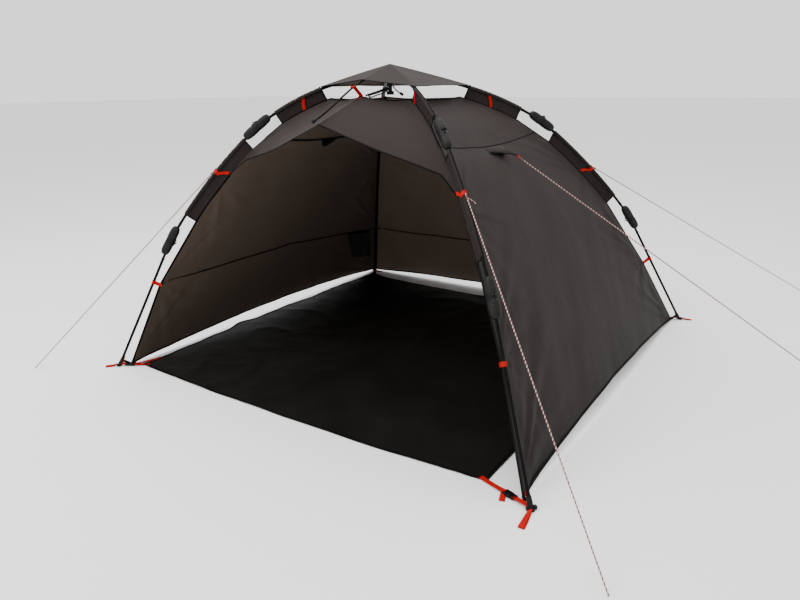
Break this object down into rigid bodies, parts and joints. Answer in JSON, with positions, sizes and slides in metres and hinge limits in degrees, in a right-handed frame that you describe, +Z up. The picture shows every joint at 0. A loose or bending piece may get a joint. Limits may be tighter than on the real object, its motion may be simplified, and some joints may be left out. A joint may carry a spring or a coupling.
{
  "type": "pitched fishing tent",
  "caption": "Open-fronted fishing tent on a jointed folding frame, with a vent cap, brow, walls, groundsheet and guy lines.",
  "frame": {"origin": "on the ground at the centre of the square that the four feet stand on", "axes": "+Z up, -Y towards the open front, +X to the right of someone looking in along +Y"},
  "size_m": [4.1962, 3.4957, 1.419],
  "materials": {
    "tent_cloth": "matt coated polyester",
    "black_pole": "satin black glass fibre and moulded elbows",
    "black_plastic": "moulded",
    "ground_cloth": "slightly glossy coated sheet",
    "red_webbing": "woven webbing",
    "guy_cord": "flecked cord",
    "pocket_net": "black net"
  },
  "bodies": {
    "root": {"hub": "black_plastic", "cap": "tent_cloth", "brow_left": "tent_cloth", "brow_right": "tent_cloth", "roof_left": "tent_cloth", "roof_right": "tent_cloth", "roof_back": "tent_cloth", "wall_left": "tent_cloth", "wall_right": "tent_cloth", "wall_back": "tent_cloth", "vent_hood_left": "tent_cloth", "vent_hood_right": "tent_cloth", "vent_hood_back": "tent_cloth", "groundsheet": "ground_cloth", "corner_strap_front_left": "red_webbing", "corner_strap_front_right": "red_webbing", "corner_strap_rear_left": "red_webbing", "corner_strap_rear_right": "red_webbing", "guy_line_front_left": "guy_cord", "guy_line_front_right": "guy_cord", "guy_line_rear_left": "guy_cord", "guy_line_rear_right": "guy_cord", "guy_line_vent_left": "guy_cord", "guy_line_vent_right": "guy_cord", "guy_line_vent_back": "guy_cord", "mesh_pocket": "pocket_net"},
    "rear_left_upper": {"upper_pole_rear_left": "black_pole", "upper_sleeve_rear_left": "tent_cloth"},
    "rear_left_middle": {"middle_pole_rear_left": "black_pole", "middle_sleeve_rear_left": "tent_cloth"},
    "rear_left_lower": {"lower_pole_rear_left": "black_pole"},
    "rear_right_upper": {"upper_pole_rear_right": "black_pole", "upper_sleeve_rear_right": "tent_cloth"},
    "rear_right_middle": {"middle_pole_rear_right": "black_pole", "middle_sleeve_rear_right": "tent_cloth"},
    "rear_right_lower": {"lower_pole_rear_right": "black_pole"},
    "front_left_upper": {"upper_pole_front_left": "black_pole", "upper_sleeve_front_left": "tent_cloth"},
    "front_left_middle": {"middle_pole_front_left": "black_pole", "middle_sleeve_front_left": "tent_cloth"},
    "front_left_lower": {"lower_pole_front_left": "black_pole"},
    "front_right_upper": {"upper_pole_front_right": "black_pole", "upper_sleeve_front_right": "tent_cloth"},
    "front_right_middle": {"middle_pole_front_right": "black_pole", "middle_sleeve_front_right": "tent_cloth"},
    "front_right_lower": {"lower_pole_front_right": "black_pole"},
    "brow_rod": {"brow_rod": "black_pole"}
  },
  "joints": [
    {"name": "frame_fold", "type": "hinge", "parent": "root", "child": "rear_left_upper", "pos_m": [-0.02811, -0.23986, 1.372], "axis": [-0.7809, -0.6247, 0], "range_deg": [0, 63.16], "deforming": ["cap", "brow_left", "brow_right", "roof_left", "roof_right", "roof_back", "wall_left", "wall_right", "wall_back", "vent_hood_left", "vent_hood_right", "vent_hood_back", "guy_line_front_left", "guy_line_front_right", "guy_line_rear_left", "guy_line_rear_right", "guy_line_vent_left", "guy_line_vent_right", "guy_line_vent_back", "mesh_pocket"]},
    {"name": "rear_left_upper_elbow_fold", "type": "hinge", "parent": "rear_left_upper", "child": "rear_left_middle", "pos_m": [-0.49427, 0.34283, 1.1728], "axis": [0.7809, 0.6247, 0], "range_deg": [0, 185.39]},
    {"name": "rear_left_lower_elbow_fold", "type": "hinge", "parent": "rear_left_middle", "child": "rear_left_lower", "pos_m": [-0.82905, 0.76131, 0.617], "axis": [-0.7809, -0.6247, 0], "range_deg": [0, 147.36]},
    {"name": "rear_right_hub_fold", "type": "hinge", "parent": "root", "child": "rear_right_upper", "pos_m": [0.02811, -0.23986, 1.372], "axis": [-0.7809, 0.6247, 0], "range_deg": [0, 63.16]},
    {"name": "rear_right_upper_elbow_fold", "type": "hinge", "parent": "rear_right_upper", "child": "rear_right_middle", "pos_m": [0.49427, 0.34283, 1.1728], "axis": [0.7809, -0.6247, 0], "range_deg": [0, 185.39]},
    {"name": "rear_right_lower_elbow_fold", "type": "hinge", "parent": "rear_right_middle", "child": "rear_right_lower", "pos_m": [0.82905, 0.76131, 0.617], "axis": [-0.7809, 0.6247, 0], "range_deg": [0, 147.36]},
    {"name": "front_left_hub_fold", "type": "hinge", "parent": "root", "child": "front_left_upper", "pos_m": [-0.036, -0.302, 1.372], "axis": [0.6, -0.8, 0], "range_deg": [0, 58.48]},
    {"name": "front_left_upper_elbow_fold", "type": "hinge", "parent": "front_left_upper", "child": "front_left_middle", "pos_m": [-0.49834, -0.64876, 1.17135], "axis": [-0.6, 0.8, 0], "range_deg": [0, 187.77]},
    {"name": "front_left_lower_elbow_fold", "type": "hinge", "parent": "front_left_middle", "child": "front_left_lower", "pos_m": [-0.8241, -0.89307, 0.6194], "axis": [0.6, -0.8, 0], "range_deg": [0, 148.3]},
    {"name": "front_right_hub_fold", "type": "hinge", "parent": "root", "child": "front_right_upper", "pos_m": [0.036, -0.302, 1.372], "axis": [0.6, 0.8, 0], "range_deg": [0, 58.48]},
    {"name": "front_right_upper_elbow_fold", "type": "hinge", "parent": "front_right_upper", "child": "front_right_middle", "pos_m": [0.49834, -0.64876, 1.17135], "axis": [-0.6, -0.8, 0], "range_deg": [0, 187.77]},
    {"name": "front_right_lower_elbow_fold", "type": "hinge", "parent": "front_right_middle", "child": "front_right_lower", "pos_m": [0.8241, -0.89307, 0.6194], "axis": [0.6, 0.8, 0], "range_deg": [0, 148.3]},
    {"name": "brow_rod_fold", "type": "hinge", "parent": "root", "child": "brow_rod", "pos_m": [0, -0.32, 1.358], "axis": [1, 0, 0], "range_deg": [0, 63.64]}
  ],
  "couplings": [
    {"joint": "rear_left_upper_elbow_fold", "follows": "frame_fold", "ratio": 2.9351},
    {"joint": "rear_left_lower_elbow_fold", "follows": "frame_fold", "ratio": 2.333},
    {"joint": "rear_right_hub_fold", "follows": "frame_fold", "ratio": 1},
    {"joint": "rear_right_upper_elbow_fold", "follows": "frame_fold", "ratio": 2.9351},
    {"joint": "rear_right_lower_elbow_fold", "follows": "frame_fold", "ratio": 2.333},
    {"joint": "front_left_hub_fold", "follows": "frame_fold", "ratio": 0.92581},
    {"joint": "front_left_upper_elbow_fold", "follows": "frame_fold", "ratio": 2.9728},
    {"joint": "front_left_lower_elbow_fold", "follows": "frame_fold", "ratio": 2.3479},
    {"joint": "front_right_hub_fold", "follows": "frame_fold", "ratio": 0.92581},
    {"joint": "front_right_upper_elbow_fold", "follows": "frame_fold", "ratio": 2.9728},
    {"joint": "front_right_lower_elbow_fold", "follows": "frame_fold", "ratio": 2.3479},
    {"joint": "brow_rod_fold", "follows": "frame_fold", "ratio": 1.0076}
  ]
}
